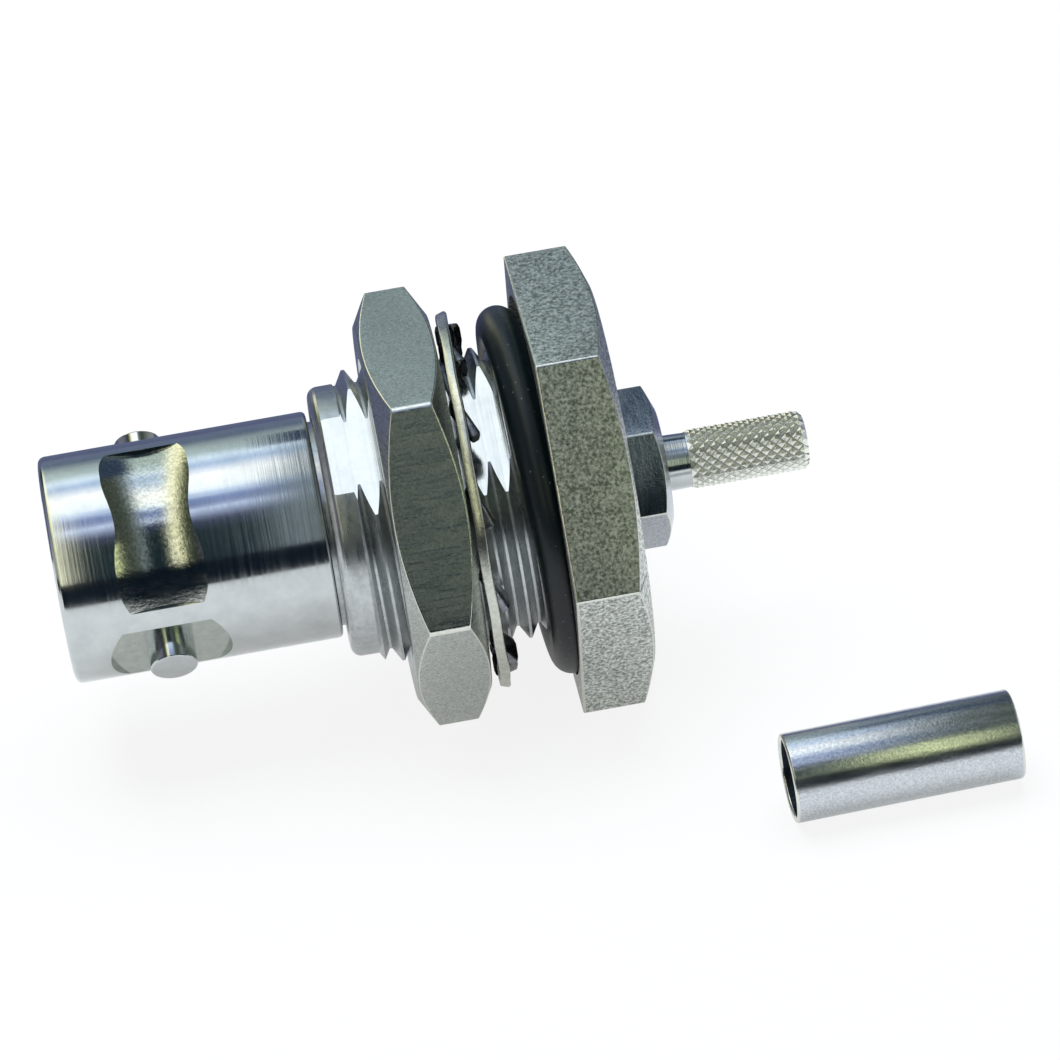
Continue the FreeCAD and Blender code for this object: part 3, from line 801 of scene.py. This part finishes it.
def makeCrimpBody():
    c = crimp
    hexagon = hexPrism(c["hexX"], c["hexEndX"], c["hexAcross"], c["hexAngle"], hexFace)
    softened(hexagon, cornerEdges(hexagon), c["hexEdge"], 4, hexLineFace)
    cone = bevelCone(c["hexEndX"], c["hexX"], c["hexAcross"], c["hexInset"], c["hexBevel"])
    cone += [(c["hexX"] - overrun, cone[-1][1]), (c["hexX"] - overrun, 0)]
    hexagon = joined(hexagon, turned(cone, c["steps"], closed=False, index=hexFace), "INTERSECT", crimpFinishes)
    hexagon = sharpLines(hexagon, c["hexLine"], hexLineFace)
    sinkX = c["hexX"] + c["shankSink"]
    stem = turned([(c["shankX"], 0), (c["shankX"], c["shankR"]), (sinkX, c["shankR"]), (sinkX, c["neckR"]),
                   (c["hexEndX"], c["neckR"]), (c["neckEndX"] - c["neckTuck"], c["neckEndR"]),
                   (c["tubeEndX"] - c["endBevel"], c["neckEndR"]), (c["tubeEndX"], c["neckEndR"] - c["endBevel"]),
                   (c["tubeEndX"], 0)], c["steps"], closed=False, index=neckFace)
    bm = joined(hexagon, stem, "UNION", crimpFinishes)
    front, back = c["shankX"] - overrun, c["tubeEndX"] + overrun
    bore = turned([(front, 0), (front, c["chamberR"]), (c["chamberEndX"], c["chamberR"]),
                   (c["chamberEndX"], c["boreR"]), (back, c["boreR"]), (back, 0)], c["steps"], closed=False)
    bm = joined(bm, bore, "DIFFERENCE", crimpFinishes)
    bm = together(bm, knurlSleeve())
    settle(finishMesh(bm, "knurledCrimpBody", crimpFinishes), "connector", "crimp_body")


makeCrimpBody()

# Nut on the thread, its corners turned down towards both faces
nut = {
    "across": 16.15, "thick": 3.12, "backX": -3.66, "angle": -3.5,
    "inset": 0.1, "bevel": 29, "edge": 0.17, "line": 0.04, "boreR": 6.3, "sink": 0.3,
}
nutFinishes = [milledNickel, threadNickel, edgeNickel]
milledFace, boreFace, nutLineFace = range(3)


def makeNut():
    n = nut
    back, face = n["backX"], n["backX"] - n["thick"]
    bm = hexPrism(face, back, n["across"], n["angle"], milledFace)
    softened(bm, cornerEdges(bm), n["edge"], 5, nutLineFace)
    left = bevelCone(face, back, n["across"], n["inset"], n["bevel"])
    right = bevelCone(back, face, n["across"], n["inset"], n["bevel"])
    bm = joined(bm, turned(left + right[::-1], closed=False, index=milledFace), "INTERSECT", nutFinishes)
    bm = sharpLines(bm, n["line"], nutLineFace)
    wideR = n["boreR"] + n["sink"] + shortOverrun
    bore = turned([(face - shortOverrun, 0), (face - shortOverrun, wideR), (face + n["sink"], n["boreR"]),
                   (back - n["sink"], n["boreR"]), (back + shortOverrun, wideR), (back + shortOverrun, 0)],
                  closed=False, index=boreFace)
    bm = joined(bm, bore, "DIFFERENCE", nutFinishes)
    settle(finishMesh(bm, "hexNut", nutFinishes), "nut", "hex_nut")


makeNut()

# Sealing ring, hanging a little crooked
ring = {
    "section": 1.7, "insideD": 12.5, "x": -0.43, "drop": 0.12,
    "tilt": 2.9, "tiltAngle": 31.3, "sides": 40, "steps": 192,
}


def makeRing():
    section = ring["section"] / 2
    middle = ring["insideD"] / 2 + section
    turns = [2 * math.pi * i / ring["sides"] for i in range(ring["sides"])]
    bm = turned([(section * math.cos(a), middle + section * math.sin(a)) for a in turns], ring["steps"])
    tilt(bm, ring["tilt"], radial(ring["tiltAngle"]))
    shift(bm, (ring["x"], 0, -ring["drop"]))
    settle(finishMesh(bm, "rubberRing", [rubber], smoothAngle=180), "connector", "sealing_ring")


makeRing()

# Lock washer with twisted teeth on the inside
washer = {
    "middleX": -3.035, "thick": 0.45, "rimInR": 7.25, "rimOutR": 8.05, "rimTaper": 0.09,
    "rimEdge": 0.13, "rimSoft": 0.05, "steps": 192,     # round edges away from the nut and beside it
    "drop": 0.1, "tilt": -1.9, "tiltAngle": 121,
    "wave": 0.03, "waves": [(12, 0.6, 0.6), (5, 2.0, 0.4)],     # dents round the rim, phase and share of each
    "teeth": 12, "firstTooth": 2, "toothThick": 0.4, "toothX": 0.15, "rootR": 7.475, "tipR": 6.42,
    "rootWidth": 2.0, "tipWidth": 1.6, "rootTwist": 19, "tipTwist": 25,
    "soft": 0.12, "sharpTurn": 0.9,     # edges that turn by more than this (radians) are rounded
}
washerFinishes = [stampedNickel, toothShadeNickel]
rimFace, toothShadeFace = range(2)


def makeTooth(turn):
    # A block drawn out towards the axis, narrowing and leaning more as it goes
    w = washer
    bm = bmesh.new()
    bmesh.ops.create_cube(bm, size=1)
    upright = [e for e in bm.edges if abs(e.verts[0].co.z - e.verts[1].co.z) > 0.5]
    bmesh.ops.subdivide_edges(bm, edges=upright, cuts=3)
    for v in bm.verts:
        share = 0.5 - v.co.z
        width = w["rootWidth"] + (w["tipWidth"] - w["rootWidth"]) * share
        lean = math.radians(w["rootTwist"] + (w["tipTwist"] - w["rootTwist"]) * share)
        across, through = v.co.y * width, v.co.x * w["toothThick"]
        v.co = Vector((w["middleX"] + w["toothX"] - across * math.sin(lean) + through * math.cos(lean),
                       across * math.cos(lean) + through * math.sin(lean),
                       w["rootR"] + (w["tipR"] - w["rootR"]) * share))
    softened(bm, [e for e in bm.edges if e.calc_face_angle(0) > w["sharpTurn"]], w["soft"], 3)
    tilt(bm, turn, "X")
    # The teeth take the dark grey finish, which is painted shade
    return whole(bm, toothShadeFace)


def makeWasher():
    w = washer
    left, right = w["middleX"] - w["thick"] / 2, w["middleX"] + w["thick"] / 2
    rim = turned([(left, w["rimInR"]), *rounded(left, right, w["rimOutR"] - w["rimTaper"], w["rimSoft"]),
                  *rounded(right, left, w["rimOutR"], w["rimEdge"])[::-1], (right, w["rimInR"])],
                 w["steps"], index=rimFace)
    teeth = together(*[makeTooth(w["firstTooth"] + 360 / w["teeth"] * i) for i in range(w["teeth"])])
    bm = joined(rim, teeth, "UNION", washerFinishes)
    for v in bm.verts:
        around = math.atan2(v.co.z, v.co.y)
        v.co.x += w["wave"] * sum(math.sin(around * count + phase) * share for count, phase, share in w["waves"])
    tilt(bm, w["tilt"], radial(w["tiltAngle"]), (w["middleX"], 0, 0))
    shift(bm, (0, 0, -w["drop"]))
    piece = finishMesh(bm, "toothedLockWasher", washerFinishes, smoothAngle=30)
    settle(piece, "washer", "lock_washer")


makeWasher()

# Crimp ferrule, a short tube lying on the table
ferrule = {
    "place": (11.9, -15.0, -6.65), "yaw": 2, "halfLength": 4.75, "outR": 1.85, "boreR": 1.6,
    "lip": 0.11, "steps": 160,
}
ferruleFinishes = [ferruleNickel, edgeNickel, boreShadeNickel]
tubeFace, lipFace, insideShadeFace = range(3)


def makeFerrule():
    f = ferrule
    half, lip = f["halfLength"], f["lip"]
    inner = [(x, 2 * f["boreR"] - r) for x, r in rounded(-half, half, f["boreR"], lip)]
    outline = (rounded(-half, half, f["outR"], lip) + rounded(half, -half, f["outR"], lip)[::-1]
               + [(-x, r) for x, r in inner] + inner[::-1])
    bm = turned(outline, f["steps"], index=tubeFace)
    for face in bm.faces:
        middle = face.calc_center_median()
        if abs(middle.x) > half - lip:
            face.material_index = lipFace
        elif math.hypot(middle.y, middle.z) < (f["boreR"] + f["outR"]) / 2:
            # Faces in the bore take the dark finish, which is painted shade
            face.material_index = insideShadeFace
    tilt(bm, f["yaw"], "Z")
    shift(bm, f["place"])
    piece = finishMesh(bm, "crimpFerrule", ferruleFinishes, smoothAngle=40)
    settle(piece, "connector", "crimp_ferrule")


makeFerrule()

# The turned solids inside keep their shape and take their finish
innerFinishes = {"front_insulator": insulator, "rear_insulator": insulator, "centre_contact": goldPlate}
for node, material in innerFinishes.items():
    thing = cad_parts[node]
    thing.data.materials.clear()
    thing.data.materials.append(material)
print("inner pieces finished")

bpy.context.scene.view_settings.view_transform = "Standard"
